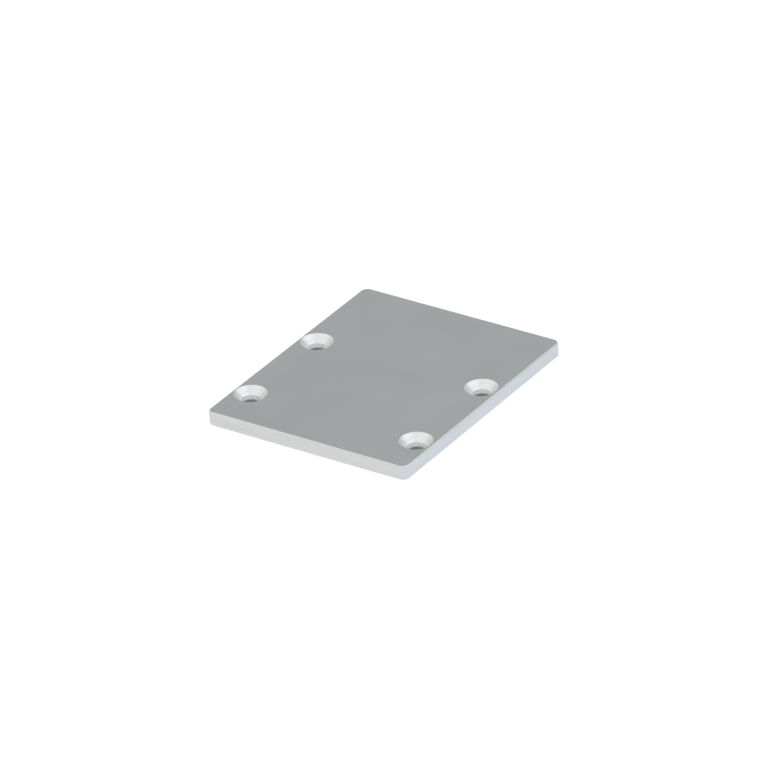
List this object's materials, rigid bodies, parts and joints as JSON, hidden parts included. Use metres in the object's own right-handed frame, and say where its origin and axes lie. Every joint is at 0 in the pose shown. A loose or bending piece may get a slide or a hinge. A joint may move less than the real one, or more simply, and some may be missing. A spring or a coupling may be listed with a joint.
{
  "type": "tube end cap",
  "caption": "Flat rectangular end cap for an aluminium tube: a thin plate with broken edges, small round corners and countersunk screw holes set towards one end.",
  "frame": {"origin": "middle of the underside, the flat face that closes the tube", "axes": "+Z out of the tube, towards the face that the screws enter; +Y along the length, from the end with the nearer row of screws to the other end; +X to the right of that"},
  "size_m": [0.06, 0.073, 0.004],
  "materials": {
    "satin_aluminium": "satin, blasted and clear anodised faces; fine milled edges; turned countersinks"
  },
  "bodies": {
    "root": {"end_cap": "satin_aluminium"}
  },
  "joints": []
}
